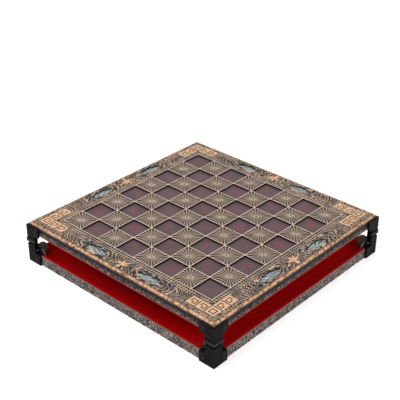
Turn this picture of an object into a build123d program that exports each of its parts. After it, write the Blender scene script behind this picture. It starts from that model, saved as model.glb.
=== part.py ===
from build123d import *
from math import cos, radians, sin
import os

# A chess board whose cast playing slab stands on four corner posts over a shallow felt-lined tray.
# The posts part half way up, so the slab lifts straight off. Sizes are millimetres, the origin is
# under the middle of the tray, +Z is up, and the front is -Y.

os.makedirs("parts", exist_ok=True)

# Playing field: the pitch of its squares and the cast plate that frames them
square = 45.5
squares_a_side = 8
bar = 3.0
plate_thick = 6.5
window_drop = 3.5
window_play = 0.15

# Starburst relief in the light squares
rays = 24
ray_width = 1.7
star_depth = 2.4
star_margin = 0.5

# Border strips round the field, with a channel for the ladder band
border_width = 38.0
border_drop = 1.2
ladder_width = 10.0
ladder_lip = 1.5
ladder_lip_height = 0.7
ladder_depth = 0.5

# Copper edge strips: their width, square edge, and the height of their crest under the field
edge_width = 6.5
edge_face = 2.0
edge_crest_drop = 0.4
edge_crest_width = 1.4
edge_bulge_height = 0.6

# Shell inlays, two to a side, in blind pockets, and how far their middle lies from the ladder band
shell_length = 60.0
shell_width = 19.0
shell_spacing = 65.0
shell_thick = 1.6
shell_sink = 1.3
shell_play = 0.15
motif_offset = 13.0

# Key-pattern blocks at the corners of the border, five units each
key_width = 20.0
key_groove = 2.0
key_groove_depth = 0.8
key_inset = 8.0
key_ring = 12.0

# Copper sprigs in the middle of each side
sprig_thick = 1.1
sprig_leaf = 15.0
sprig_leaf_width = 4.6
sprig_fan = (-56, 0, 56)
sprig_stem = 3.0

# Side rails of the slab and of the tray, and the clear bay between them
rail_thick = 5.0
rail_bead = 1.0
slab_height = 16.0
tray_height = 20.0
bay_height = 42.0
edge_overhang = 0.3

# Panels and linings
floor_thick = 4.0
felt_thick = 1.0
wall_felt_thick = 1.2
felt_lap_thick = 0.8
lining_thick = 1.0
lining_recess = 0.5

# Corner castings: wings over the rails, capping the tray's, a neck across the bay, and the groove where they part
casting_thick = 3.8
wing_reach = 32.5
neck_reach = 20.0
meet_height = 40.5
groove_gap = 5.0
groove_inset = 2.0
lip_height = 7.0
lip_flare = 1.0
wing_hang = 2.5
wing_slope = 1.5
cap_thick = 1.5
wing_round = 2.0
band_height = 1.3
band_depth = 0.8
lower_bands = (5.0, 11.0, 17.0, 25.0, 31.0)
upper_bands = (54.0, 62.5, 68.5, 74.5)

# Tongues that stand up from the lower castings into rebates behind the lips of the upper ones
tongue_seat = 6.5
tongue_play = 0.15

# Inner corner braces with round ears, and the bolts that clamp them to the necks
brace_thick = 3.0
ear_diameter = 27.0
ear_offset = 13.5
felt_clear = 0.3
shank_sides = 6
bolt_diameter = 2.6
bolt_head = 5.2
bolt_head_sides = 12
bolt_head_height = 1.6
bolt_offset = 7.5
bolt_rise = 4.0
bolt_bite = 3.0

# Screws that hold the castings to the rails
screw_diameter = 2.6
screw_head = 5.2
screw_head_height = 1.0
screw_offset = 23.5
screw_bite = 3.0
screw_taper = 30

# Places that follow from the sizes above
field_half = square * squares_a_side / 2 + bar / 2
border_half = field_half + border_width
edge_half = border_half + edge_width
rail_half = edge_half - edge_overhang
rail_in = rail_half - rail_thick
casting_half = rail_half + casting_thick
wing_end = casting_half - wing_reach
neck_end = casting_half - neck_reach
slab_bottom = tray_height + bay_height
deck = slab_bottom + slab_height
field_top = deck + plate_thick
border_top = field_top - border_drop
floor_top = floor_thick
felt_top = floor_top + felt_thick
window = square - bar
ladder_end = field_half + ladder_width
ladder_top = border_top + ladder_lip_height
ladder_floor = border_top - ladder_depth
motif_line = ladder_end + motif_offset
tray_screw_height = tray_height / 2
bolt_height = tray_height + bolt_rise
slab_screw_height = slab_bottom + slab_height / 2

SIDES = {"front": -90, "right": 0, "back": 90, "left": 180}
CORNERS = {"back_right": 0, "back_left": 90, "front_left": 180, "front_right": 270}


def outward(angle):
    return Vector(cos(radians(angle)), sin(radians(angle)), 0)


def profile_plane(angle):
    # Across a side: local x runs out from the middle of the board, local y runs up
    out = outward(angle)
    return Plane(origin=(0, 0, 0), x_dir=out, z_dir=out.cross(Vector(0, 0, 1)))


def wall_plane(angle, distance):
    # On a side: local x runs along it, local y runs up, and the normal points out
    out = outward(angle)
    return Plane(origin=out * distance, x_dir=Vector(0, 0, 1).cross(out), z_dir=out)


def corner_plane(angle, height):
    # Level, turned so that the corner lies towards local +x +y
    return Plane.XY.offset(height).rotated((0, 0, angle))


def corner_mirror(angle):
    # Upright, through the diagonal of a corner
    return Plane(origin=(0, 0, 0), z_dir=outward(angle + 135))


def mitre(angle):
    # Cuts both ends of a side's strip on the diagonals of the board
    split(bisect_by=Plane(origin=(0, 0, 0), z_dir=outward(angle + 45)), keep=Keep.TOP)
    split(bisect_by=Plane(origin=(0, 0, 0), z_dir=outward(angle - 45)), keep=Keep.TOP)


def screw_places(height):
    # On a wall plane: one place near each end of the side
    along = casting_half - screw_offset
    return [(-along, height), (along, height)]


def lens(length, width, centre=(0, 0), turn=0):
    # A pointed oval from two arcs
    with BuildSketch(Plane.XY, mode=Mode.PRIVATE) as oval:
        with BuildLine():
            ThreePointArc((-length / 2, 0), (0, width / 2), (length / 2, 0))
            ThreePointArc((length / 2, 0), (0, -width / 2), (-length / 2, 0))
        make_face()
    return oval.sketch.moved(Location((centre[0], centre[1], 0), (0, 0, turn)))


# Tray floor: a thin panel let in between the four rails
with BuildPart() as tray_floor:
    with BuildSketch():
        Rectangle(2 * rail_in, 2 * rail_in)
    extrude(amount=floor_top)
tray_floor.part.label = "tray_floor"
export_step(tray_floor.part, "parts/tray_floor.step")

# Red felt glued over the floor
with BuildPart() as floor_felt:
    with BuildSketch(Plane.XY.offset(floor_top)):
        Rectangle(2 * rail_in, 2 * rail_in)
    extrude(amount=felt_thick)
floor_felt.part.label = "floor_felt"
export_step(floor_felt.part, "parts/floor_felt.step")

# Tray rails: mitred boards with a sunk face and a bead along the top, drilled for the lower screws
for side, angle in SIDES.items():
    with BuildPart() as tray_rail:
        with BuildSketch(profile_plane(angle)):
            with BuildLine():
                face = rail_half - rail_bead
                Polyline(
                    (face, tray_height),
                    (rail_in, tray_height),
                    (rail_in, 0),
                    (rail_half, 0),
                    (rail_half, rail_bead),
                    (face, 2 * rail_bead),
                    (face, tray_height - 2 * rail_bead),
                )
                ThreePointArc(
                    (face, tray_height - 2 * rail_bead),
                    (rail_half, tray_height - rail_bead),
                    (face, tray_height),
                )
            make_face()
        extrude(amount=rail_half, both=True)
        mitre(angle)
        with BuildSketch(wall_plane(angle, rail_half)):
            with Locations(*screw_places(tray_screw_height)):
                RegularPolygon(screw_diameter / 2, shank_sides)
        extrude(amount=-screw_bite, mode=Mode.SUBTRACT)
    tray_rail.part.label = f"tray_rail_{side}"
    export_step(tray_rail.part, f"parts/tray_rail_{side}.step")

# Red felt strips up the insides of the rails, stopping short of the corner braces, and lapped over
# the rails' tops from one casting to the next
felt_end = rail_in - ear_offset - ear_diameter / 2 - felt_clear
lap_top = tray_height + felt_lap_thick
for side, angle in SIDES.items():
    with BuildPart() as wall_felt:
        with BuildSketch(wall_plane(angle, rail_in)):
            with Locations((0, (felt_top + lap_top) / 2)):
                Rectangle(2 * felt_end, lap_top - felt_top)
        extrude(amount=-wall_felt_thick)
        with BuildSketch(wall_plane(angle, rail_in)):
            with Locations((0, (tray_height + lap_top) / 2)):
                Rectangle(2 * wing_end, felt_lap_thick)
        extrude(amount=rail_thick - rail_bead)
    wall_felt.part.label = f"wall_felt_{side}"
    export_step(wall_felt.part, f"parts/wall_felt_{side}.step")


def angle_section(half, end, inner):
    # An L in plan: outer faces at half, legs back to end, inner faces at inner
    Polygon(
        (half, half),
        (end, half),
        (end, inner),
        (inner, inner),
        (inner, end),
        (half, end),
        align=None,
    )


# Lower corner castings: wings round the tray rails and over their tops, a neck, and a tongue that
# enters the upper half
cap_top = tray_height + cap_thick
upper_base = meet_height + groove_gap / 2
lower_top = meet_height - groove_gap / 2
tongue_face = casting_half - groove_inset
tongue_end = neck_end + groove_inset
bolt_along = rail_in - bolt_offset
wing_screw = casting_half - screw_offset
for corner, angle in CORNERS.items():
    with BuildPart() as lower_corner:
        with BuildSketch(wall_plane(angle, rail_half)) as leg:
            Polygon(
                (casting_half, 0),
                (wing_end, 0),
                (wing_end, cap_top),
                (neck_end, cap_top),
                (neck_end, lower_top),
                (casting_half, lower_top),
                align=None,
            )
            fillet(leg.vertices().group_by(Axis.Y)[1].sort_by(Axis.X)[-1], wing_round)
            with Locations((wing_screw, tray_screw_height)):
                RegularPolygon(screw_diameter / 2, shank_sides, mode=Mode.SUBTRACT)
        extrude(amount=casting_thick)
        with BuildSketch(wall_plane(angle, rail_half)):
            with Locations((bolt_along, bolt_height)):
                RegularPolygon(bolt_diameter / 2, shank_sides)
        extrude(amount=bolt_bite, mode=Mode.SUBTRACT)
        mirror(about=corner_mirror(angle))
        with BuildSketch(corner_plane(angle, tray_height)):
            angle_section(casting_half, wing_end, rail_in)
        extrude(amount=cap_thick)
        with BuildSketch(corner_plane(angle, lower_top)):
            angle_section(tongue_face, tongue_end, rail_half)
        extrude(amount=groove_gap + tongue_seat)
        for height in lower_bands:
            with BuildSketch(corner_plane(angle, height)):
                angle_section(casting_half + band_depth, neck_end, casting_half - band_depth)
            extrude(amount=band_height, mode=Mode.SUBTRACT)
    lower_corner.part.label = f"lower_corner_{corner}"
    export_step(lower_corner.part, f"parts/lower_corner_{corner}.step")

# Inner corner braces: an angle plate with a round ear on each rail
ear_place = rail_in - ear_offset
ear_height = felt_top + ear_diameter / 2
for corner, angle in CORNERS.items():
    with BuildPart() as corner_brace:
        with BuildSketch(wall_plane(angle, rail_in)):
            with Locations((ear_place, ear_height)):
                Circle(ear_diameter / 2)
            with Locations(((ear_place + rail_in) / 2, (felt_top + tray_height) / 2)):
                Rectangle(rail_in - ear_place, tray_height - felt_top)
            with Locations((rail_in / 2, ear_height)):
                Rectangle(rail_in, ear_diameter, mode=Mode.INTERSECT)
            with Locations((bolt_along, bolt_height)):
                RegularPolygon(bolt_diameter / 2, shank_sides, mode=Mode.SUBTRACT)
        extrude(amount=-brace_thick)
        mirror(about=corner_mirror(angle))
    corner_brace.part.label = f"corner_brace_{corner}"
    export_step(corner_brace.part, f"parts/corner_brace_{corner}.step")

# Brace bolts: low heads inside, shanks over the rail into the necks
with BuildPart() as brace_bolts:
    for angle in CORNERS.values():
        for turn, along in ((0, bolt_along), (90, -bolt_along)):
            head_seat = rail_in - brace_thick
            with BuildSketch(wall_plane(angle + turn, head_seat)):
                with Locations((along, bolt_height)):
                    RegularPolygon(bolt_diameter / 2, shank_sides)
            extrude(amount=brace_thick + rail_thick + bolt_bite)
            with BuildSketch(wall_plane(angle + turn, head_seat)):
                with Locations((along, bolt_height)):
                    RegularPolygon(bolt_head / 2, bolt_head_sides)
            extrude(amount=-bolt_head_height)
brace_bolts.part.label = "brace_bolts"
export_step(brace_bolts.part, "parts/brace_bolts.step")

# Casting screws: low hexagon heads outside the wings, shanks into the rails
for level, height in (("lower", tray_screw_height), ("upper", slab_screw_height)):
    with BuildPart() as corner_screws:
        for angle in SIDES.values():
            with BuildSketch(wall_plane(angle, rail_half - screw_bite)):
                with Locations(*screw_places(height)):
                    RegularPolygon(screw_diameter / 2, shank_sides)
            extrude(amount=screw_bite + casting_thick)
            with BuildSketch(wall_plane(angle, casting_half)):
                with Locations(*screw_places(height)):
                    RegularPolygon(screw_head / 2, shank_sides)
            extrude(amount=screw_head_height, taper=screw_taper)
    corner_screws.part.label = f"{level}_corner_screws"
    export_step(corner_screws.part, f"parts/{level}_corner_screws.step")

# Core panel of the slab, between its rails
with BuildPart() as core_panel:
    with BuildSketch(Plane.XY.offset(slab_bottom + lining_recess + lining_thick)):
        Rectangle(2 * rail_in, 2 * rail_in)
    extrude(amount=slab_height - lining_recess - lining_thick)
core_panel.part.label = "core_panel"
export_step(core_panel.part, "parts/core_panel.step")

# Lining glued under the core panel
with BuildPart() as slab_lining:
    with BuildSketch(Plane.XY.offset(slab_bottom + lining_recess)):
        Rectangle(2 * rail_in, 2 * rail_in)
    extrude(amount=lining_thick)
slab_lining.part.label = "slab_lining"
export_step(slab_lining.part, "parts/slab_lining.step")

# Slab rails: the same board as the tray's, with its bead along the bottom
for side, angle in SIDES.items():
    with BuildPart() as slab_rail:
        with BuildSketch(profile_plane(angle)):
            with BuildLine():
                face = rail_half - rail_bead
                Polyline(
                    (face, slab_bottom),
                    (rail_in, slab_bottom),
                    (rail_in, deck),
                    (rail_half, deck),
                    (rail_half, deck - rail_bead),
                    (face, deck - 2 * rail_bead),
                    (face, slab_bottom + 2 * rail_bead),
                )
                ThreePointArc(
                    (face, slab_bottom + 2 * rail_bead),
                    (rail_half, slab_bottom + rail_bead),
                    (face, slab_bottom),
                )
            make_face()
        extrude(amount=rail_half, both=True)
        mitre(angle)
        with BuildSketch(wall_plane(angle, rail_half)):
            with Locations(*screw_places(slab_screw_height)):
                RegularPolygon(screw_diameter / 2, shank_sides)
        extrude(amount=-screw_bite, mode=Mode.SUBTRACT)
    slab_rail.part.label = f"slab_rail_{side}"
    export_step(slab_rail.part, f"parts/slab_rail_{side}.step")

# Upper corner castings: wings round the slab rails, sloping to a neck whose flared lip laps the tongue
for corner, angle in CORNERS.items():
    with BuildPart() as upper_corner:
        with BuildSketch(wall_plane(angle, rail_half)) as leg:
            Polygon(
                (casting_half, deck),
                (wing_end, deck),
                (wing_end, slab_bottom - wing_hang),
                (neck_end, slab_bottom - wing_hang - wing_slope),
                (neck_end, upper_base),
                (casting_half, upper_base),
                align=None,
            )
            with Locations((wing_screw, slab_screw_height)):
                RegularPolygon(screw_diameter / 2, shank_sides, mode=Mode.SUBTRACT)
        extrude(amount=casting_thick)
        mirror(about=corner_mirror(angle))
        with BuildSketch(corner_plane(angle, upper_base)):
            angle_section(casting_half + lip_flare, neck_end - groove_inset, rail_half)
        extrude(amount=lip_height)
        with BuildSketch(corner_plane(angle, upper_base)):
            angle_section(tongue_face + tongue_play, tongue_end - tongue_play, rail_half)
        extrude(amount=tongue_seat, mode=Mode.SUBTRACT)
        for height in upper_bands:
            with BuildSketch(corner_plane(angle, height)):
                angle_section(casting_half + band_depth, neck_end, casting_half - band_depth)
            extrude(amount=band_height, mode=Mode.SUBTRACT)
    upper_corner.part.label = f"upper_corner_{corner}"
    export_step(upper_corner.part, f"parts/upper_corner_{corner}.step")

# Squares of the field: the near right and far left corners are dark
pitches = [square * (n - (squares_a_side - 1) / 2) for n in range(squares_a_side)]
grid = [(col, row) for col in range(squares_a_side) for row in range(squares_a_side)]
dark_centres = [(pitches[col], pitches[row]) for col, row in grid if (col + row) % 2 == 1]
light_centres = [(pitches[col], pitches[row]) for col, row in grid if (col + row) % 2 == 0]


# Starburst outline: pointed rays whose tips stop just short of the bars round their square
valley = ray_width / 2 / sin(radians(180 / rays))
star_outline = []
for number in range(rays):
    tip_angle = radians(360 / rays * number)
    valley_angle = radians(360 / rays * (number + 1 / 2))
    tip = (window / 2 - star_margin) / max(abs(cos(tip_angle)), abs(sin(tip_angle)))
    star_outline.append((tip * cos(tip_angle), tip * sin(tip_angle)))
    star_outline.append((valley * cos(valley_angle), valley * sin(valley_angle)))

# Fret plate: one casting with a window for each dark square and a starburst on a sunk ground for
# each light one
with BuildPart() as fret_plate:
    with BuildSketch(Plane.XY.offset(deck)):
        Rectangle(2 * field_half, 2 * field_half)
        with Locations(*dark_centres):
            Rectangle(window, window, mode=Mode.SUBTRACT)
    extrude(amount=plate_thick)
    with BuildSketch(Plane.XY.offset(field_top)):
        with Locations(*light_centres):
            Rectangle(window, window)
            Polygon(*star_outline, align=None, mode=Mode.SUBTRACT)
    extrude(amount=-star_depth, mode=Mode.SUBTRACT)
fret_plate.part.label = "fret_plate"
export_step(fret_plate.part, "parts/fret_plate.step")

# Dark squares: smooth tiles on the core panel, sunk below the bars of the plate
with BuildPart() as dark_squares:
    with BuildSketch(Plane.XY.offset(deck)):
        with Locations(*dark_centres):
            Rectangle(window - 2 * window_play, window - 2 * window_play)
    extrude(amount=plate_thick - window_drop)
dark_squares.part.label = "dark_squares"
export_step(dark_squares.part, "parts/dark_squares.step")

# Border strips: mitred castings with the ladder channel and two blind pockets for shell
pocket_floor = border_top - shell_sink - shell_thick
for side, angle in SIDES.items():
    with BuildPart() as border_strip:
        with BuildSketch(profile_plane(angle)):
            Polygon(
                (field_half, deck),
                (border_half, deck),
                (border_half, border_top),
                (ladder_end, border_top),
                (ladder_end, ladder_top),
                (ladder_end - ladder_lip, ladder_top),
                (ladder_end - ladder_lip, ladder_floor),
                (field_half, ladder_floor),
                align=None,
            )
        extrude(amount=border_half, both=True)
        mitre(angle)
        with BuildSketch(corner_plane(angle, border_top)):
            add(lens(shell_length, shell_width, (motif_line, shell_spacing), 90))
            add(lens(shell_length, shell_width, (motif_line, -shell_spacing), 90))
        extrude(amount=pocket_floor - border_top, mode=Mode.SUBTRACT)
    border_strip.part.label = f"border_strip_{side}"
    export_step(border_strip.part, f"parts/border_strip_{side}.step")

# Shell inlays in their pockets
with BuildPart() as shell_inlays:
    for angle in SIDES.values():
        with BuildSketch(corner_plane(angle, pocket_floor)):
            for along in (shell_spacing, -shell_spacing):
                add(
                    lens(
                        shell_length - 2 * shell_play * shell_length / shell_width,
                        shell_width - 2 * shell_play,
                        (motif_line, along),
                        90,
                    )
                )
        extrude(amount=shell_thick)
shell_inlays.part.label = "shell_inlays"
export_step(shell_inlays.part, "parts/shell_inlays.step")

# Key-pattern blocks: an L of five units at each corner, with a square ring and four square hooks
key_outer = border_half - key_inset
key_inner = key_outer - key_width
key_end = key_outer - 3 * key_width
key_middle = key_outer - key_width / 2
hook_out = key_width / 2 - key_groove - key_groove / 2
with BuildSketch() as key_hook:
    with BuildLine():
        Polyline(
            (key_width / 2, hook_out),
            (-hook_out, hook_out),
            (-hook_out, -hook_out),
            (hook_out, -hook_out),
            (hook_out, key_groove),
            (-key_groove, key_groove),
            (-key_groove, -key_groove / 2),
        )
    trace(line_width=key_groove)
hook_along = key_hook.sketch
hook_across = key_hook.sketch.mirror(Plane(origin=(0, 0, 0), z_dir=(1, -1, 0)))
for corner, angle in CORNERS.items():
    with BuildPart() as key_corner:
        with BuildSketch(corner_plane(angle, border_top)):
            angle_section(key_outer, key_end, key_inner)
        extrude(amount=border_drop)
        with BuildSketch(corner_plane(angle, field_top)):
            with Locations((key_middle, key_middle)):
                Rectangle(key_ring, key_ring)
                Rectangle(key_ring - 2 * key_groove, key_ring - 2 * key_groove, mode=Mode.SUBTRACT)
            with Locations((key_middle - key_width, key_middle), (key_middle - 2 * key_width, key_middle)):
                add(hook_along)
            with Locations((key_middle, key_middle - key_width), (key_middle, key_middle - 2 * key_width)):
                add(hook_across)
        extrude(amount=-key_groove_depth, mode=Mode.SUBTRACT)
    key_corner.part.label = f"key_corner_{corner}"
    export_step(key_corner.part, f"parts/key_corner_{corner}.step")

# Copper sprigs: pointed leaves that fan out of a round knot
with BuildPart() as sprigs:
    for angle in SIDES.values():
        with BuildSketch(corner_plane(angle, border_top)):
            knot = (ladder_end + sprig_stem, 0)
            with Locations(knot):
                Circle(sprig_stem)
            for fan in sprig_fan:
                middle = sprig_stem / 2 + sprig_leaf / 2
                place = (knot[0] + middle * cos(radians(fan)), middle * sin(radians(fan)))
                add(lens(sprig_leaf, sprig_leaf_width, place, fan))
        extrude(amount=sprig_thick)
sprigs.part.label = "sprigs"
export_step(sprigs.part, "parts/sprigs.step")

# Copper edge strips: mitred, sloping down from a narrow crest to a square edge
for side, angle in SIDES.items():
    with BuildPart() as edge_strip:
        with BuildSketch(profile_plane(angle)):
            with BuildLine():
                crest = (border_half + edge_crest_width, field_top - edge_crest_drop)
                toe = (edge_half, deck + edge_face)
                Polyline(
                    toe,
                    (edge_half, deck),
                    (border_half, deck),
                    (border_half, field_top - edge_crest_drop),
                    crest,
                )
                SagittaArc(crest, toe, -edge_bulge_height)
            make_face()
        extrude(amount=edge_half, both=True)
        mitre(angle)
    edge_strip.part.label = f"edge_strip_{side}"
    export_step(edge_strip.part, f"parts/edge_strip_{side}.step")
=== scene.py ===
import math

import bpy
import numpy as np
from mathutils import Matrix, Vector, noise


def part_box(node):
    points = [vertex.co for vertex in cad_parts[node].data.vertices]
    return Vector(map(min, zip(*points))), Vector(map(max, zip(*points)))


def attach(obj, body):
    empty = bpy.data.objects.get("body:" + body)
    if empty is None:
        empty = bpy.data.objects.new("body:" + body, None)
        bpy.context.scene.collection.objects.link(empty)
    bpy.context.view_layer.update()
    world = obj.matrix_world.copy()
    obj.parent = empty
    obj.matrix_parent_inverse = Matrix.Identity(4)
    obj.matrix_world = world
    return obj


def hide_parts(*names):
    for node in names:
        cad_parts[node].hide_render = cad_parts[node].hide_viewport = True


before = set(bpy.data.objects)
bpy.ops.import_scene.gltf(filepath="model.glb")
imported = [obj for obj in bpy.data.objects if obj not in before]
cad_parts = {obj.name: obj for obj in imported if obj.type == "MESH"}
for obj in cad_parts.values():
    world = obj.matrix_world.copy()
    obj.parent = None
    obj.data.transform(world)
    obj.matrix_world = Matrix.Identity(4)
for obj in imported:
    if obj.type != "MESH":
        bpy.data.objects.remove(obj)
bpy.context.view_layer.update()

# Floor panel of the tray and core panel of the slab: plain fibreboard let in between the rails.
# The tray's is seen from below, and the core is hidden by the lining glued under it.
MM = 0.001
SIDES = ("front", "right", "back", "left")
CORNERS = ("back_right", "back_left", "front_left", "front_right")


def tone(red, green, blue):
    """A colour given as screen values from 0 to 255, as the linear light that a shader takes."""
    parts = [value / 255 for value in (red, green, blue)]
    return (*[p / 12.92 if p <= 0.04045 else ((p + 0.055) / 1.055) ** 2.4 for p in parts], 1)


class Finish:
    """A procedural finish laid out in the board's own coordinates."""

    def __init__(self, name, roughness, metallic=0.0, colour=None, shine=0.5):
        self.material = bpy.data.materials.new(name)
        self.material.use_nodes = True
        self.tree = self.material.node_tree
        self.shader = self.tree.nodes["Principled BSDF"]
        self.feed(self.shader, "Roughness", roughness)
        self.feed(self.shader, "Metallic", metallic)
        self.feed(self.shader, "Specular IOR Level", shine)
        if colour:
            self.feed(self.shader, "Base Color", colour)
        self.place = self.node("ShaderNodeTexCoord").outputs["Object"]

    def node(self, kind, **settings):
        made = self.tree.nodes.new(kind)
        for name, value in settings.items():
            setattr(made, name, value)
        return made

    def feed(self, node, name, value):
        """Links a socket to an input, or sets a plain number or colour on it."""
        if isinstance(value, bpy.types.NodeSocket):
            self.tree.links.new(value, node.inputs[name])
        else:
            node.inputs[name].default_value = value

    def blotches(self, size, detail=3.0, rough=0.5):
        """Soft noise from 0 to 1 whose blotches are about that many metres across."""
        made = self.node("ShaderNodeTexNoise")
        self.feed(made, "Vector", self.place)
        self.feed(made, "Scale", 1 / size)
        self.feed(made, "Detail", detail)
        self.feed(made, "Roughness", rough)
        return made.outputs["Fac"]

    def flecks(self, size):
        """A random value from 0 to 1 in each of many small cells."""
        made = self.node("ShaderNodeTexVoronoi")
        self.feed(made, "Vector", self.place)
        self.feed(made, "Scale", 1 / size)
        apart = self.node("ShaderNodeSeparateColor")
        self.feed(apart, "Color", made.outputs["Color"])
        return apart.outputs["Red"]

    def height(self, low, high):
        """0 at one height in metres, 1 at another, and a straight run between."""
        apart = self.node("ShaderNodeSeparateXYZ")
        self.feed(apart, "Vector", self.place)
        made = self.node("ShaderNodeMapRange")
        self.feed(made, "Value", apart.outputs["Z"])
        self.feed(made, "From Min", low)
        self.feed(made, "From Max", high)
        return made.outputs["Result"]

    def facing_in(self, least):
        """1 on faces turned to the board's middle and at least that far from it, 0 on the others."""
        turned = self.node("ShaderNodeVectorMath", operation="DOT_PRODUCT")
        self.feed(turned, 0, self.node("ShaderNodeNewGeometry").outputs["Normal"])
        self.feed(turned, 1, self.place)
        return self.maths("LESS_THAN", turned.outputs["Value"], -least)

    def lying(self, steep, flat):
        """0 on faces as steep as one share of upright, 1 on faces as level as another."""
        apart = self.node("ShaderNodeSeparateXYZ")
        self.feed(apart, "Vector", self.node("ShaderNodeNewGeometry").outputs["Normal"])
        made = self.node("ShaderNodeMapRange")
        self.feed(made, "Value", apart.outputs["Z"])
        self.feed(made, "From Min", steep)
        self.feed(made, "From Max", flat)
        return made.outputs["Result"]

    def ramp(self, factor, *stops):
        """A colour for each value of a factor, from (value, colour) stops."""
        made = self.node("ShaderNodeValToRGB")
        self.feed(made, "Fac", factor)
        marks = made.color_ramp.elements
        while len(marks) < len(stops):
            marks.new(1)
        for mark, (at, colour) in zip(marks, stops):
            mark.position = at
            mark.color = colour
        return made.outputs["Color"]

    def mix(self, factor, first, second, blend="MIX"):
        """The first colour where the factor is 0, the second where it is 1."""
        made = self.node("ShaderNodeMix", data_type="RGBA", blend_type=blend)
        self.feed(made, 0, factor)
        self.feed(made, 6, first)
        self.feed(made, 7, second)
        return made.outputs[2]

    def maths(self, operation, first, second):
        """A sum, product or comparison of two values."""
        made = self.node("ShaderNodeMath", operation=operation)
        self.feed(made, 0, first)
        self.feed(made, 1, second)
        return made.outputs[0]

    def colour(self, source):
        """Makes a colour that changes over the surface the finish's own."""
        self.feed(self.shader, "Base Color", source)

    def bump(self, source, depth):
        """Fine unevenness of that many metres."""
        made = self.node("ShaderNodeBump")
        self.feed(made, "Strength", 1)
        self.feed(made, "Distance", depth)
        self.feed(made, "Height", source)
        self.feed(self.shader, "Normal", made.outputs["Normal"])

    def on(self, *names):
        """Gives this finish to CAD nodes."""
        for name in names:
            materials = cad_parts[name].data.materials
            materials.clear()
            materials.append(self.material)


fibreboard = Finish("fibreboard", roughness=0.8)
fibreboard.colour(
    fibreboard.ramp(fibreboard.blotches(2 * MM), (0.3, tone(142, 112, 80)), (0.7, tone(166, 134, 98)))
)
fibreboard.on("tray_floor", "core_panel")

# Felt: short-napped red cloth glued over the tray's floor and up the insides of its rails. The slab
# is lined underneath with the same kind of cloth in black.
tray_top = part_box("tray_rail_front")[1].z
felt = Finish("red_felt", roughness=1.0, shine=0.1)
felt_nap = felt.blotches(0.9 * MM, detail=4)
felt_lap = felt.height(tray_top - 2 * MM, tray_top + 0.4 * MM)
felt.colour(
    felt.mix(
        felt_lap,
        felt.mix(
            felt.blotches(45 * MM, detail=2),
            felt.ramp(felt_nap, (0.25, tone(202, 0, 6)), (0.75, tone(230, 2, 10))),
            felt.ramp(felt_nap, (0.25, tone(212, 0, 7)), (0.75, tone(240, 3, 12))),
        ),
        felt.ramp(felt_nap, (0.25, tone(160, 3, 8)), (0.75, tone(188, 6, 12))),
    )
)
felt.bump(felt_nap, 0.25 * MM)
felt.on("floor_felt", *[f"wall_felt_{side}" for side in SIDES])

black_cloth = Finish("black_cloth", roughness=1.0, shine=0.1)
black_cloth.colour(
    black_cloth.ramp(black_cloth.blotches(0.8 * MM), (0.3, tone(16, 15, 16)), (0.7, tone(40, 37, 38)))
)
black_cloth.on("slab_lining")

# Tray rails: four wooden boards mitred at the corners, with a sunk face and a bead along the top.
# They are sponged in a speckled grey, and the bead is painted a copper brown.
BLACK = tone(0, 0, 0)
WHITE = tone(255, 255, 255)
bead_size = 2 * MM
bead_edge = 0.2 * MM


def speckled(name, ground, dark, light, bead, bead_low, bead_high, painted_shade=None):
    """Sponged paint: a mottled ground with dark and light flecks, and a bead of its own colour.

    The last argument, if given, holds two heights between which the paint darkens upwards as painted shade.
    """
    made = Finish(name, roughness=0.7, shine=0.15)
    paint = made.ramp(made.blotches(7 * MM, detail=5, rough=0.75), (0.4, ground[0]), (0.6, ground[1]))
    fleck = made.flecks(2.0 * MM)
    paint = made.mix(made.ramp(fleck, (0.2, WHITE), (0.3, BLACK)), paint, dark)
    paint = made.mix(made.ramp(fleck, (0.8, BLACK), (0.88, WHITE)), paint, light)
    if painted_shade:
        paint = made.mix(made.height(*painted_shade), paint, tone(14, 15, 20))
    made.colour(made.mix(made.height(bead_low, bead_high), paint, bead))
    made.bump(made.blotches(1.2 * MM, detail=4), 0.3 * MM)
    return made


tray_paint = speckled(
    "tray_rail_paint",
    ground=(tone(62, 60, 64), tone(146, 132, 126)),
    dark=tone(42, 42, 48),
    light=tone(184, 164, 154),
    bead=tone(150, 104, 90),
    bead_low=tray_top - bead_size - bead_edge,
    bead_high=tray_top - bead_size,
)
tray_paint.on(*[f"tray_rail_{side}" for side in SIDES])

# Corner castings: metal painted satin black, in two halves that part at a groove, with shallow bands
# round the arris. The lip's ledge carries a painted highlight in grey, and the foot is lighter grey along
# its bottom. Black screws hold the castings' wings to the rails.
satin_black = Finish("satin_black", roughness=0.65, shine=0.1)
satin_mottle = satin_black.blotches(6 * MM, detail=4)
lip_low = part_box("upper_corner_front_right")[0].z
# painted highlight: the lip's ledge is lighter grey where light falls on it; the foot is lighter grey along
# its bottom
lip_highlight = satin_black.maths(
    "MULTIPLY",
    satin_black.height(lip_low + 2.4 * MM, lip_low + 3.0 * MM),
    satin_black.height(lip_low + 6.6 * MM, lip_low + 5.6 * MM),
)
lighter_foot = satin_black.height(1.6 * MM, 0.8 * MM)
satin_black.colour(
    satin_black.mix(
        satin_black.maths("ADD", lip_highlight, lighter_foot),
        satin_black.ramp(satin_mottle, (0.3, tone(7, 7, 8)), (0.7, tone(17, 16, 18))),
        satin_black.ramp(satin_mottle, (0.3, tone(34, 34, 35)), (0.7, tone(58, 58, 60))),
    )
)
satin_black.bump(satin_black.blotches(2.5 * MM, detail=3), 0.35 * MM)
satin_black.on(*[f"{half}_corner_{corner}" for half in ("lower", "upper") for corner in CORNERS])

black_screw = Finish("black_screw", roughness=0.55, shine=0.3, colour=tone(15, 15, 16))
black_screw.on("lower_corner_screws", "upper_corner_screws")
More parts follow.
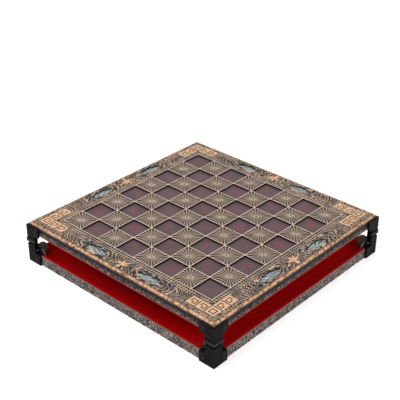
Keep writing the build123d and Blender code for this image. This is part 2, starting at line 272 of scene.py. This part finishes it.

# Corner braces: angle plates with round ears inside the tray, dull green-grey on the faces turned to
# the middle, with painted shade in near-black on the faces behind. Round-headed steel bolts clamp them to
# the castings.
brace_paint = Finish("brace_paint", roughness=0.55, shine=0.3)
brace_mottle = brace_paint.blotches(5 * MM, detail=4)
# painted shade: faces not turned to the middle are painted near-black
brace_paint.colour(
    brace_paint.mix(
        brace_paint.facing_in(least=60 * MM),
        tone(12, 12, 13),
        brace_paint.ramp(brace_mottle, (0.3, tone(112, 122, 110)), (0.7, tone(140, 150, 136))),
    )
)
brace_paint.on(*[f"corner_brace_{corner}" for corner in CORNERS])

steel = Finish("turned_steel", roughness=0.4, metallic=0.15, colour=tone(208, 208, 200))
steel.on("brace_bolts")

# Slab rails: four wooden boards mitred round the core, with a sunk face and a brown bead along the
# bottom. They are sponged in a speckled blue-grey, with painted shade darkening it towards the copper edge.
slab_low, slab_high = [corner.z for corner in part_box("slab_rail_front")]
slab_paint = speckled(
    "slab_rail_paint",
    ground=(tone(40, 36, 46), tone(122, 101, 99)),
    dark=tone(22, 24, 42),
    light=tone(176, 152, 142),
    bead=tone(128, 82, 72),
    bead_low=slab_low + bead_size + bead_edge,
    bead_high=slab_low + bead_size,
    # painted shade under the copper edge: the paint darkens towards the top
    painted_shade=(slab_low + 3 * MM, slab_high - 3 * MM),
)
slab_paint.on(*[f"slab_rail_{side}" for side in SIDES])

# Fret plate: one antiqued metal casting that lies on the core. A lattice of round-topped bars frames
# the dark tiles and, between them, squares of 24 rays that run out from a drilled hub over a sunk
# ground.
field_low, field_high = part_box("fret_plate")
deck = field_low.z
field_top = field_high.z
field_half = field_high.x
squares = 8
bar = 3.0 * MM
pitch = (2 * field_half - bar) / squares
rays = 24
ray_width = 2.1 * MM
ray_root = 0.7 * MM
ray_start = 3.0 * MM
ground_drop = 1.9 * MM
bar_crest = 1.5 * MM
bar_shoulder = 2.6 * MM
hub_profile = ((3.8, -1.9), (3.5, -0.7), (3.0, -0.25), (2.6, -0.15), (2.3, -0.4), (2.1, -1.0), (2.0, -1.8))
hub_sides = 20


class Shape:
    """The points and faces of one piece, in metres."""

    def __init__(self):
        self.points = []
        self.faces = []

    def rings(self, rows):
        """A closed tube through rows of equally many points, with a face over each end."""
        start, count = len(self.points), len(rows[0])
        for row in rows:
            self.points.extend(row)
        for step in range(len(rows) - 1):
            for side in range(count):
                a = start + step * count + side
                b = start + step * count + (side + 1) % count
                self.faces.append((a, b, b + count, a + count))
        last = start + (len(rows) - 1) * count
        self.faces.append(tuple(range(start + count - 1, start - 1, -1)))
        self.faces.append(tuple(range(last, last + count)))

    def block(self, low, high):
        """A box between two corners."""
        outline = ((low[0], low[1]), (high[0], low[1]), (high[0], high[1]), (low[0], high[1]))
        self.rings([[(x, y, z) for x, y in outline] for z in (low[2], high[2])])

    def piece(self, name, finish, body, replaces, smooth=None):
        """Makes the finished piece, riding on its body in place of CAD nodes.

        Edges blunter than the smooth angle, in degrees, are shaded round.
        """
        mesh = bpy.data.meshes.new(name)
        mesh.from_pydata(self.points, [], self.faces)
        mesh.materials.append(finish.material)
        mesh.update()
        if smooth is not None:
            mesh.shade_smooth()
            mesh.set_sharp_from_angle(angle=math.radians(smooth))
        made = bpy.data.objects.new(name, mesh)
        bpy.context.scene.collection.objects.link(made)
        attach(made, body)
        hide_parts(*replaces)


def ridge(width, base, crest):
    """The section of a round-topped ridge, as (across, up) points."""
    half, rise = width / 2, crest - base
    return [
        (half, base),
        (half, base + 0.55 * rise),
        (0.6 * half, base + 0.9 * rise),
        (0, crest),
        (-0.6 * half, base + 0.9 * rise),
        (-half, base + 0.55 * rise),
        (-half, base),
    ]


def straight_ridge(shape, start, end, section, taper=1.0):
    """Runs a section along a straight line on the board, narrower at its start by the taper."""
    run = (Vector(end) - Vector(start)).normalized()
    rows = [
        [(at[0] - run[1] * across * wide, at[1] + run[0] * across * wide, up) for across, up in section]
        for at, wide in ((start, taper), (end, 1.0))
    ]
    shape.rings(rows)


def ring_of(x, y, radius, up, sides):
    """A level ring of points round a place on the board."""
    turns = [2 * math.pi * side / sides for side in range(sides)]
    return [(x + radius * math.cos(turn), y + radius * math.sin(turn), up) for turn in turns]


lattice = Shape()
bar_section = [
    (bar / 2, deck),
    (0.42 * bar, field_top - bar_shoulder),
    *ridge(bar_crest, field_top - 0.5 * MM, field_top),
    (-0.42 * bar, field_top - bar_shoulder),
    (-bar / 2, deck),
]
for line in range(squares + 1):
    at = line * pitch - field_half + bar / 2
    straight_ridge(lattice, (at, -field_half), (at, field_half), bar_section)
    straight_ridge(lattice, (-field_half, at), (field_half, at), bar_section)

window_half = (pitch - bar) / 2
ground = field_top - ground_drop
ray_section = ridge(ray_width, ground - 0.2 * MM, field_top - 0.1 * MM)
for column in range(squares):
    for row in range(squares):
        if (column + row) % 2:
            continue
        x = (column - (squares - 1) / 2) * pitch
        y = (row - (squares - 1) / 2) * pitch
        reach = window_half + bar / 4
        lattice.block((x - reach, y - reach, deck), (x + reach, y + reach, ground))
        for number in range(rays):
            angle = 2 * math.pi * number / rays
            ray = Vector((math.cos(angle), math.sin(angle)))
            length = reach / max(abs(ray.x), abs(ray.y))
            start = (x + ray.x * ray_start, y + ray.y * ray_start)
            end = (x + ray.x * length, y + ray.y * length)
            straight_ridge(lattice, start, end, ray_section, taper=ray_root / ray_width)
        lattice.rings(
            [ring_of(x, y, radius * MM, field_top + drop * MM, hub_sides) for radius, drop in hub_profile]
        )

antique_plate = Finish("antique_plate", roughness=0.5, metallic=0.25)
plate_wear = antique_plate.blotches(12 * MM, detail=5, rough=0.65)
# painted shade: upright faces are painted near-black; below the tops the sunk ground is dark brown, and the
# tops are pale
antique_plate.colour(
    antique_plate.mix(
        antique_plate.lying(0.2, 0.5),
        tone(9, 6, 6),
        antique_plate.mix(
            antique_plate.height(field_top - 1.8 * MM, field_top - 0.7 * MM),
            antique_plate.ramp(plate_wear, (0.3, tone(74, 61, 54)), (0.7, tone(108, 92, 82))),
            antique_plate.ramp(plate_wear, (0.3, tone(204, 180, 162)), (0.7, tone(230, 206, 186))),
        ),
    )
)
antique_plate.bump(antique_plate.blotches(1.5 * MM), 0.15 * MM)
lattice.piece("star_lattice", antique_plate, "board", ["fret_plate"], smooth=40)

# Dark squares: smooth enamelled tiles laid on the core panel, under the windows of the fret plate.
# They are plum-grey, and in some a soft red cloud fills the middle.
window_drop = 3.5 * MM
tile_middle = (deck + field_top - window_drop) / 2
enamel = Finish("plum_enamel", roughness=0.45, shine=0.3)
enamel_tile = enamel.node("ShaderNodeVectorMath", operation="SCALE")
enamel.feed(enamel_tile, 0, enamel.place)
enamel.feed(enamel_tile, "Scale", 1 / pitch)
enamel_across = enamel.node("ShaderNodeVectorMath", operation="FRACTION")
enamel.feed(enamel_across, 0, enamel_tile.outputs[0])
enamel_out = enamel.node("ShaderNodeVectorMath", operation="DISTANCE")
enamel.feed(enamel_out, 0, enamel_across.outputs[0])
enamel.feed(enamel_out, 1, (0.5, 0.5, (tile_middle / pitch) % 1))
enamel_middle = enamel.ramp(enamel_out.outputs["Value"], (0.0, WHITE), (0.42, BLACK))
enamel_cloud = enamel.ramp(enamel.blotches(18 * MM, detail=2), (0.42, BLACK), (0.7, WHITE))
enamel.colour(
    enamel.mix(
        enamel.mix(1.0, enamel_middle, enamel_cloud, blend="MULTIPLY"),
        enamel.ramp(enamel.blotches(30 * MM, detail=3), (0.35, tone(79, 61, 64)), (0.65, tone(91, 70, 74))),
        tone(128, 58, 69),
    )
)
enamel.on("dark_squares")

# Border strips: four antiqued metal castings mitred at the corners and laid round the field. A ladder
# of small rungs in two rows runs along the field, and outside it the cast ground flows in waves round
# the pockets of the shells. The relief is worked out in plain millimetres.
border_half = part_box("border_strip_right")[1].x
border_top = field_top - 1.2 * MM
ladder_end = field_half + 10 * MM
ladder_lip = 1.8 * MM
ladder_floor = border_top - 0.1 * MM
ladder_root = ladder_floor - 0.1 * MM
rungs_a_square = 8
rung_width = 2.0 * MM
grid_step = 0.55 * MM
wave_height, wave_spacing, wave_trough = 2.3, 7.6, 0.6
calm_reach = 6
shell_length, shell_width, shell_spacing, shell_sink = 60.0, 19.0, 65.0, 3.4
pocket_margin, pocket_ragged, pocket_wall = 0.9, 4.0, 6
motif_line = 1000 * ladder_end + 13
key_outer = 1000 * border_half - 8
key_units, key_unit = 3, 20.0
key_end = key_outer - key_units * key_unit


def on_side(side, along, out, up):
    """A point given along, out from the middle of, and up one side of the board."""
    angle = math.radians(90 * SIDES.index(side) - 90)
    return (
        out * math.cos(angle) - along * math.sin(angle),
        out * math.sin(angle) + along * math.cos(angle),
        up,
    )


def swirl(along, out, size, seed):
    """Smooth noise from about -1 to 1 at a place in millimetres, stretched along the side."""
    return noise.noise(Vector((along / (2.0 * size), out / size, seed)))


def beyond(along, out):
    """How far a place lies outside a shell's pointed oval, in millimetres, less than 0 inside it."""
    run = abs(along - shell_spacing) / (shell_length / 2)
    return shell_width / 2 * (run**2 - 1) + abs(out - motif_line)


def relief_at(side, along, out):
    """Height of the cast relief over the strip's top, in metres, at a place in metres.

    It falls away in the shells' pockets, is flat under the key blocks, and turns pebbled near them.
    """
    along, out = along * 1000, out * 1000
    seed = 10.0 * SIDES.index(side) + (5.0 if along < 0 else 0.0)
    along = abs(along)
    if key_end < along < key_outer and out < key_outer:
        return 0.0
    clear = beyond(along, out) + pocket_margin + pocket_ragged * swirl(along, out, 4.5, seed + 1)
    grain = 0.25 * swirl(along, out, 0.9, seed)
    if clear < 0:
        return (0.3 * grain - min(shell_sink, -pocket_wall * clear)) * MM
    calm = min(1.0, clear / calm_reach)
    wander = 1.3 * swirl(along, out, 12, seed) + 0.35 * swirl(along, out, 5, seed)
    flow = clear / wave_spacing - 0.12 + calm * wander
    crest = 0.5 + 0.5 * math.cos(2 * math.pi * flow)
    broken = 0.75 + 0.35 * swirl(along, out, 7, seed + 2)
    pebbled = max(0.0, min(1.0, (along - key_end + 12) / 10))
    pebble = 0.5 + 1.3 * noise.noise(Vector((along / 3.2, out / 2.6, seed + 3)))
    rise = broken * crest**1.4 * (1 - 0.6 * pebbled) + 0.5 * pebbled * pebble
    return (grain + wave_height * rise - wave_trough) * MM


def mitred(shape, side, steps, section):
    """A strip along one side. A section gives (out, up) points for a place from -1 to 1 along it."""
    rows = []
    for step in range(steps + 1):
        share = 2 * step / steps - 1
        rows.append([on_side(side, share * out, out, up) for out, up in section(share, side)])
    shape.rings(rows)


relief_rows = np.linspace(ladder_end, border_half, round((border_half - ladder_end) / grid_step) + 1)


def border_section(share, side):
    """The strip's section at a place along it: the ladder's channel, and the relief outside it."""
    top = [(out, border_top + relief_at(side, share * out, out)) for out in relief_rows]
    channel = [(field_half, deck), (field_half, ladder_floor), (ladder_end, ladder_floor)]
    return channel + top + [(border_half, deck)]


antique_border = Finish("antique_border", roughness=0.55, metallic=0.1, shine=0.3)
border_wear = antique_border.blotches(6 * MM, detail=5, rough=0.7)
border_crests = antique_border.ramp(
    antique_border.blotches(16 * MM, detail=3),
    (0.34, tone(128, 120, 116)),
    (0.44, tone(160, 140, 126)),
    (0.56, tone(190, 166, 146)),
    (0.7, tone(214, 174, 138)),
)
# painted shade: low and upright faces of the relief are painted near-black, the rest mottled grey with pale
# crests
antique_border.colour(
    antique_border.mix(
        antique_border.maths(
            "MULTIPLY",
            antique_border.height(border_top - 0.15 * MM, border_top + 0.6 * MM),
            antique_border.lying(0.3, 0.7),
        ),
        antique_border.ramp(border_wear, (0.3, tone(14, 10, 10)), (0.7, tone(62, 52, 48))),
        antique_border.mix(
            antique_border.ramp(border_wear, (0.3, BLACK), (0.5, WHITE)),
            tone(118, 106, 98),
            border_crests,
        ),
    )
)
antique_border.bump(antique_border.blotches(1.3 * MM), 0.2 * MM)

ladder_rail = ridge(ladder_lip, ladder_root, border_top + 0.7 * MM)
rung = ridge(rung_width, ladder_root, border_top + 0.65 * MM)
rung_pitch = pitch / rungs_a_square
for side in SIDES:
    strip = Shape()
    mitred(strip, side, round(2 * border_half / grid_step), border_section)
    for line in ((field_half + ladder_end - ladder_lip) / 2, ladder_end - ladder_lip / 2):
        ends = [on_side(side, end * line, line, 0)[:2] for end in (-1, 1)]
        straight_ridge(strip, *ends, ladder_rail)
    for number in range(squares * rungs_a_square + 1):
        along = number * rung_pitch - field_half + bar / 2
        ends = [on_side(side, along, out, 0)[:2] for out in (field_half - 0.2 * MM, ladder_end - ladder_lip)]
        straight_ridge(strip, *ends, rung)
    replaced = [f"border_strip_{side}"]
    strip.piece(f"border_relief_{side}", antique_border, "board", replaced, smooth=50)

# Key blocks: pale copper castings let in at the corners of the border, five squares each. Every
# square but the one in the corner winds a sunk dark line in to its middle. The patterns' rows run
# from the field out.
key_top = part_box("key_corner_front_right")[1].z
key_floor = key_top - 0.8 * MM
key_foot = border_top - 0.4 * MM
key_cells_a_unit = 10
key_cell = key_unit * MM / key_cells_a_unit
key_hook = (
    "#########.",
    "#########.",
    "##......#.",
    "##.####.#.",
    "##.####.#.",
    "##.#.##.#.",
    "####.##.#.",
    "####....#.",
    "#########.",
    "#########.",
)
key_ring = (
    "##########",
    "##########",
    "##......##",
    "##.####.##",
    "##.####.##",
    "##.####.##",
    "##.####.##",
    "##......##",
    "##########",
    "##########",
)


def key_cells():
    """The cells of one block, by place in from its outer corner, and whether each stands up."""
    cells = {}
    for unit in range(key_units):
        pattern = key_hook if unit else key_ring
        for row, line in enumerate(pattern):
            for column, mark in enumerate(line):
                raised = mark == "#"
                place = (key_cells_a_unit * (unit + 1) - 1 - column, key_cells_a_unit - 1 - row)
                cells[place] = raised
                if unit:
                    cells[place[::-1]] = raised
    return cells


def terrace(shape, cells, spot):
    """A block stepped cell by cell. Spot turns a place counted in cells into a point at a height."""

    def face(*corners):
        first = len(shape.points)
        shape.points.extend(corners)
        shape.faces.append((first, first + 1, first + 2, first + 3))

    def wall(a, b, low, high):
        face(spot(*a, low), spot(*b, low), spot(*b, high), spot(*a, high))

    for (i, j), raised in cells.items():
        level = key_top if raised else key_floor
        a, b, c, d = (i, j), (i + 1, j), (i + 1, j + 1), (i, j + 1)
        face(*[spot(*place, level) for place in (a, b, c, d)])
        face(*[spot(*place, key_foot) for place in (a, d, c, b)])
        for (over, up), start, end in (((1, 0), b, c), ((-1, 0), d, a), ((0, 1), c, d), ((0, -1), a, b)):
            beside = cells.get((i + over, j + up))
            if beside is None:
                wall(start, end, key_foot, level)
            elif raised and not beside:
                wall(start, end, key_floor, key_top)


pale_copper = Finish("pale_copper", roughness=0.45, metallic=0.2)
pale_mottle = pale_copper.blotches(9 * MM, detail=3)
on_key = pale_copper.height(key_top - 0.6 * MM, key_top - 0.15 * MM)
pale_copper.colour(
    pale_copper.mix(
        pale_copper.maths("MULTIPLY", on_key, pale_copper.lying(0.3, 0.7)),
        tone(92, 58, 40),
        pale_copper.ramp(pale_mottle, (0.3, tone(206, 162, 124)), (0.7, tone(232, 192, 156))),
    )
)
pale_copper.bump(pale_copper.blotches(3 * MM), 0.2 * MM)
for corner in CORNERS:
    angle = math.radians(90 * CORNERS.index(corner))
    block = Shape()

    def spot(i, j, up):
        x, y = key_outer * MM - i * key_cell, key_outer * MM - j * key_cell
        return (x * math.cos(angle) - y * math.sin(angle), x * math.sin(angle) + y * math.cos(angle), up)

    terrace(block, key_cells(), spot)
    block.piece(f"key_block_{corner}", pale_copper, "board", [f"key_corner_{corner}"])

# Shells: eight slips of blue-grey shell, ground to pointed ovals with a low crown. They are glued in
# pockets in the border's ground, well below its waves.
shell_play = 1
shell_rim_drop = 2.2 * MM
shell_crown = 0.9 * MM


def almond(shape, side, along, out, turn, length, width, low, rim, crown, crease=0.0):
    """A crowned pointed oval on one side of the board, its long axis turned from along the side.

    A crease sinks the line down its middle.
    """
    steps, slices = 28, 8
    rows = []
    for step in range(steps + 1):
        share = 0.992 * (2 * step / steps - 1)
        half = width / 2 * (1 - share**2)
        ring = [(-half, low)]
        for slice_number in range(slices + 1):
            across = 2 * slice_number / slices - 1
            rise = crown * (1 - across**2) * (1 - share**2) ** 0.5
            ring.append((across * half, rim + rise - (crease if across == 0 else 0)))
        ring.append((half, low))
        run, bow = math.cos(turn), math.sin(turn)
        at = share * length / 2
        line, line_out = along + at * run, out + at * bow
        rows.append([on_side(side, line - a * bow, line_out + a * run, up) for a, up in reversed(ring)])
    shape.rings(rows)


shells = Shape()
for side in SIDES:
    for hand in (-1, 1):
        almond(
            shells,
            side,
            along=hand * shell_spacing * MM,
            out=motif_line * MM,
            turn=0.0,
            length=(shell_length - shell_play) * MM,
            width=(shell_width - shell_play) * MM,
            low=border_top - shell_sink * MM,
            rim=border_top - shell_rim_drop,
            crown=shell_crown,
        )

blue_shell = Finish("blue_shell", roughness=0.3)
shell_bands = blue_shell.node("ShaderNodeTexWave", wave_type="RINGS", rings_direction="Z")
blue_shell.feed(shell_bands, "Vector", blue_shell.place)
blue_shell.feed(shell_bands, "Scale", 0.05 / MM)
blue_shell.feed(shell_bands, "Distortion", 9.0)
blue_shell.feed(shell_bands, "Detail", 2.0)
blue_shell.colour(
    blue_shell.mix(
        blue_shell.ramp(shell_bands.outputs["Fac"], (0.5, BLACK), (0.85, WHITE)),
        blue_shell.ramp(
            blue_shell.blotches(16 * MM, detail=3),
            (0.38, tone(50, 60, 76)),
            (0.47, tone(84, 100, 110)),
            (0.55, tone(106, 136, 134)),
            (0.64, tone(92, 98, 120)),
        ),
        tone(174, 180, 172),
    )
)
shells.piece("shell_slips", blue_shell, "board", ["shell_inlays"], smooth=50)

# Sprigs: five small copper leaves pinned to the middle of each side, with a crease down each. Four
# spread from a foot near the rim towards the field, and a short broad one points back to the rim.
sprig_low, sprig_high = [corner.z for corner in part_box("sprigs")]
sprig_root = border_half - 11 * MM
sprig_overlap = 1.5 * MM
sprig_leaves = (
    # degrees from straight in towards the field, length, width
    (-68, 16 * MM, 4.6 * MM),
    (-34, 18 * MM, 5.0 * MM),
    (8, 17 * MM, 5.4 * MM),
    (62, 17 * MM, 5.0 * MM),
    (170, 13 * MM, 7.0 * MM),
)
sprigs = Shape()
for side in SIDES:
    for fan, leaf_length, leaf_width in sprig_leaves:
        turn = math.radians(-90 - fan)
        middle = leaf_length / 2 - sprig_overlap
        almond(
            sprigs,
            side,
            along=middle * math.cos(turn),
            out=sprig_root + middle * math.sin(turn),
            turn=turn,
            length=leaf_length,
            width=leaf_width,
            low=sprig_low,
            rim=sprig_high - 0.5 * MM,
            crown=1.0 * MM,
            crease=0.35 * MM,
        )
sprig_copper = Finish("sprig_copper", roughness=0.45, metallic=0.2)
sprig_mottle = sprig_copper.blotches(4 * MM, detail=4)
sprig_copper.colour(sprig_copper.ramp(sprig_mottle, (0.36, tone(150, 112, 84)), (0.56, tone(236, 190, 146))))
sprigs.piece("copper_sprigs", sprig_copper, "board", ["sprigs"], smooth=50)

# Edge strips: four lengths of hammered copper, mitred at the corners and fixed round the border. Each
# slopes from a ragged inner crest down to a square edge over the rail.
edge_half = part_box("edge_strip_right")[1].x
edge_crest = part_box("edge_strip_right")[1].z
edge_face = deck + 2 * MM
edge_crest_width = 1.4 * MM
edge_inset = 1.2 * MM
edge_bulge = 0.6 * MM
edge_dent = 0.35 * MM
edge_ragged, edge_frayed = 1.6 * MM, 0.9 * MM
edge_slope_steps = 8
edge_length_steps = 380


def dent(x, y, size, seed):
    """Hammer marks: noise from about -1 to 1 with dents of a given size."""
    return noise.noise(Vector((x / size, y / size, seed)))


def edge_section(share, side):
    """The strip's section at a place along it: a crest with a ragged inner line, and a dented slope."""
    rim = border_half - 0.3 * MM
    x, y, _ = on_side(side, share * border_half, border_half, 0)
    ragged = edge_ragged * dent(x, y, 7 * MM, 3.0) + edge_frayed * dent(x, y, 2.5 * MM, 7.0) + edge_frayed
    points = [(border_half, deck), (rim, border_top - 0.6 * MM), (rim + ragged, edge_crest - 0.1 * MM)]
    start = border_half + edge_crest_width + edge_inset
    for step in range(edge_slope_steps + 1):
        part = step / edge_slope_steps
        out = start + part * (edge_half - start)
        bulge = edge_bulge * 4 * part * (1 - part)
        up = edge_crest + part * (edge_face - edge_crest) + bulge
        x, y, _ = on_side(side, share * out, out, 0)
        fade = 1.0 if step < edge_slope_steps else 0.4
        up += fade * (edge_dent * dent(x, y, 5 * MM, 0.0) - 0.2 * MM)
        points.append((out, up))
    return points + [(edge_half, deck)]


hammered = Finish("hammered_copper", roughness=0.5, metallic=0.15, shine=0.3)
hammered_blots = hammered.blotches(5 * MM, detail=5, rough=0.65)
hammered_top = hammered.ramp(
    hammered_blots,
    (0.36, tone(72, 52, 42)),
    (0.43, tone(146, 106, 82)),
    (0.51, tone(204, 154, 114)),
    (0.66, tone(234, 186, 144)),
)
# painted shade: the square edge face low on the strip is painted dark brown
hammered.colour(
    hammered.mix(
        hammered.height(edge_face + 0.3 * MM, edge_face + 1.5 * MM),
        hammered.ramp(hammered_blots, (0.35, tone(34, 24, 22)), (0.65, tone(88, 62, 50))),
        hammered.mix(
            hammered.lying(0.9, 0.99),
            hammered_top,
            hammered.ramp(hammered_blots, (0.4, tone(66, 56, 48)), (0.64, tone(176, 142, 112))),
        ),
    )
)
hammered.bump(hammered.blotches(2.5 * MM), 0.4 * MM)
for side in SIDES:
    rim_strip = Shape()
    mitred(rim_strip, side, edge_length_steps, edge_section)
    replaced = [f"edge_strip_{side}"]
    rim_strip.piece(f"hammered_edge_{side}", hammered, "board", replaced, smooth=60)

# Room: a plain pale floor, a pale sky dimmer near the ground, and two soft lamps. The floor and the
# backdrop are brought up to white only where the camera or a reflection sees them.
sky_low, sky_high = 0.5, 0.9
floor_reach = 8
floor_glow_level = 0.42
board_middle = (0, 0, 0.05)


def plain_lamp(name, place, aim, size, power):
    """A square lamp of that many metres and watts, turned to what it aims at."""
    lamp = bpy.data.lights.new(name, "AREA")
    lamp.size = size
    lamp.energy = power
    holder = bpy.data.objects.new(name, lamp)
    holder.location = place
    holder.rotation_mode = "QUATERNION"
    holder.rotation_quaternion = (Vector(aim) - Vector(place)).to_track_quat("-Z", "Y")
    bpy.context.scene.collection.objects.link(holder)


def white_to_camera(tree, lit, camera_only):
    """Adds light that camera, mirror and glass rays alone see to a shader."""
    path = tree.nodes.new("ShaderNodeLightPath")
    seen = tree.nodes.new("ShaderNodeMath")
    seen.operation = "MAXIMUM"
    tree.links.new(path.outputs["Is Camera Ray"], seen.inputs[0])
    tree.links.new(path.outputs["Is Glossy Ray"], seen.inputs[1])
    both = tree.nodes.new("ShaderNodeMath")
    both.operation = "MAXIMUM"
    tree.links.new(seen.outputs[0], both.inputs[0])
    tree.links.new(path.outputs["Is Transmission Ray"], both.inputs[1])
    mixed = tree.nodes.new("ShaderNodeMixShader")
    tree.links.new(both.outputs[0], mixed.inputs[0])
    tree.links.new(lit, mixed.inputs[1])
    tree.links.new(camera_only, mixed.inputs[2])
    return mixed.outputs[0]


world = bpy.data.worlds.new("room")
world.use_nodes = True
bpy.context.scene.world = world
world_light = world.node_tree.nodes["Background"]
world_light.inputs["Color"].default_value = (1, 1, 1, 1)
world_place = world.node_tree.nodes.new("ShaderNodeTexCoord")
world_apart = world.node_tree.nodes.new("ShaderNodeSeparateXYZ")
world_fade = world.node_tree.nodes.new("ShaderNodeMapRange")
world_fade.inputs["To Min"].default_value = sky_low
world_fade.inputs["To Max"].default_value = sky_high
world.node_tree.links.new(world_place.outputs["Generated"], world_apart.inputs[0])
world.node_tree.links.new(world_apart.outputs["Z"], world_fade.inputs["Value"])
world.node_tree.links.new(world_fade.outputs["Result"], world_light.inputs["Strength"])
world_white = world.node_tree.nodes.new("ShaderNodeBackground")
world_white.inputs["Color"].default_value = (1, 1, 1, 1)
world_white.inputs["Strength"].default_value = 1
world.node_tree.links.new(
    white_to_camera(world.node_tree, world_light.outputs[0], world_white.outputs[0]),
    world.node_tree.nodes["World Output"].inputs["Surface"],
)

floor = Shape()
floor.block((-floor_reach, -floor_reach, -0.02), (floor_reach, floor_reach, -0.0002))
floor_mesh = bpy.data.meshes.new("floor")
floor_mesh.from_pydata(floor.points, [], floor.faces)
floor_piece = bpy.data.objects.new("floor", floor_mesh)
bpy.context.scene.collection.objects.link(floor_piece)
floor_finish = Finish("pale_floor", roughness=1.0, colour=(0.9, 0.9, 0.9, 1))
floor_glow = floor_finish.node("ShaderNodeEmission")
floor_glow.inputs["Strength"].default_value = floor_glow_level
floor_both = floor_finish.node("ShaderNodeAddShader")
floor_finish.tree.links.new(floor_finish.shader.outputs[0], floor_both.inputs[0])
floor_finish.tree.links.new(floor_glow.outputs[0], floor_both.inputs[1])
floor_finish.tree.links.new(
    white_to_camera(floor_finish.tree, floor_finish.shader.outputs[0], floor_both.outputs[0]),
    floor_finish.tree.nodes["Material Output"].inputs["Surface"],
)
floor_mesh.materials.append(floor_finish.material)

plain_lamp("lamp_high", (-0.5, -0.9, 1.9), board_middle, size=1.4, power=16)
plain_lamp("lamp_right", (1.9, 0.4, 1.1), board_middle, size=1.2, power=7)

# Camera: it stands where the photograph was taken from. Its place, turn and lens were worked out from
# the centres of the starbursts, which lie on a square grid.
camera_turn = math.radians(42.34)
camera_rise = math.radians(29.80)
camera_roll = math.radians(0.188)
camera_place = (960.1 * MM, -1065.0 * MM, 942.3 * MM)
camera_lens = 81.43

ahead = Vector(
    (
        -math.sin(camera_turn) * math.cos(camera_rise),
        math.cos(camera_turn) * math.cos(camera_rise),
        -math.sin(camera_rise),
    )
)
level = Vector((math.cos(camera_turn), math.sin(camera_turn), 0))
above = level.cross(ahead)
right = level * math.cos(camera_roll) + above * math.sin(camera_roll)
top = above * math.cos(camera_roll) - level * math.sin(camera_roll)
lens = bpy.data.cameras.new("camera")
lens.lens = camera_lens
lens.sensor_width = 36
lens.clip_start = 0.01
camera = bpy.data.objects.new("camera", lens)
camera.matrix_world = Matrix.Translation(camera_place) @ Matrix((right, top, -ahead)).transposed().to_4x4()
bpy.context.scene.collection.objects.link(camera)
bpy.context.scene.camera = camera
bpy.context.scene.view_settings.view_transform = "Standard"
